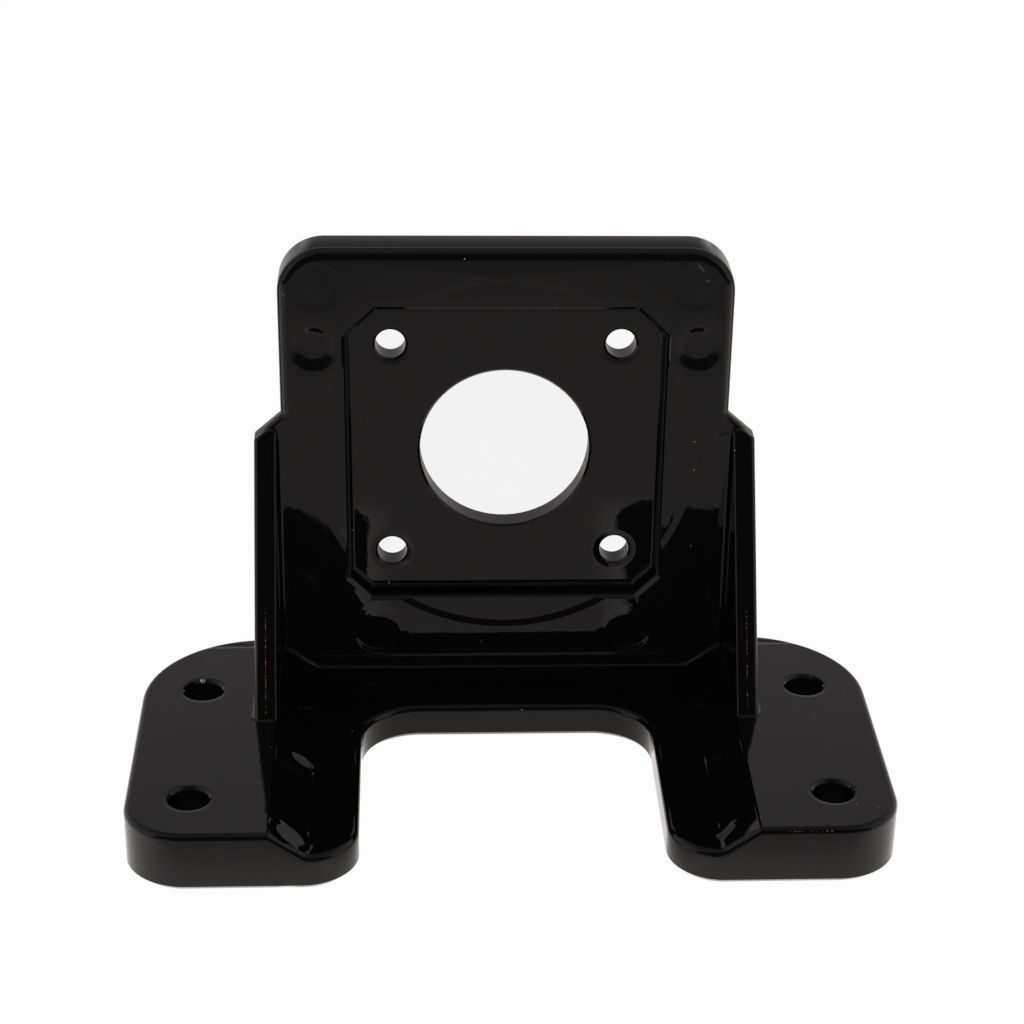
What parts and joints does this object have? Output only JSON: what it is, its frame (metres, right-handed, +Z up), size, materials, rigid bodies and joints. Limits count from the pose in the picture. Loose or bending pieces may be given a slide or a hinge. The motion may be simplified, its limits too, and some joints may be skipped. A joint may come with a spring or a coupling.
{
  "type": "motor mounting bracket",
  "caption": "Cast motor mounting bracket with a forked foot, two side gussets and a pocketed plate for a 42 mm square motor flange.",
  "frame": {"origin": "on the sole, at the centre of the bounding box", "axes": "+Z up from the sole, +X along the width of the foot, the arms of the foot and the motor towards -Y"},
  "size_m": [0.0988, 0.0542, 0.0672],
  "materials": {
    "paint": "gloss"
  },
  "bodies": {
    "root": {"bracket_casting": "paint"}
  },
  "joints": []
}
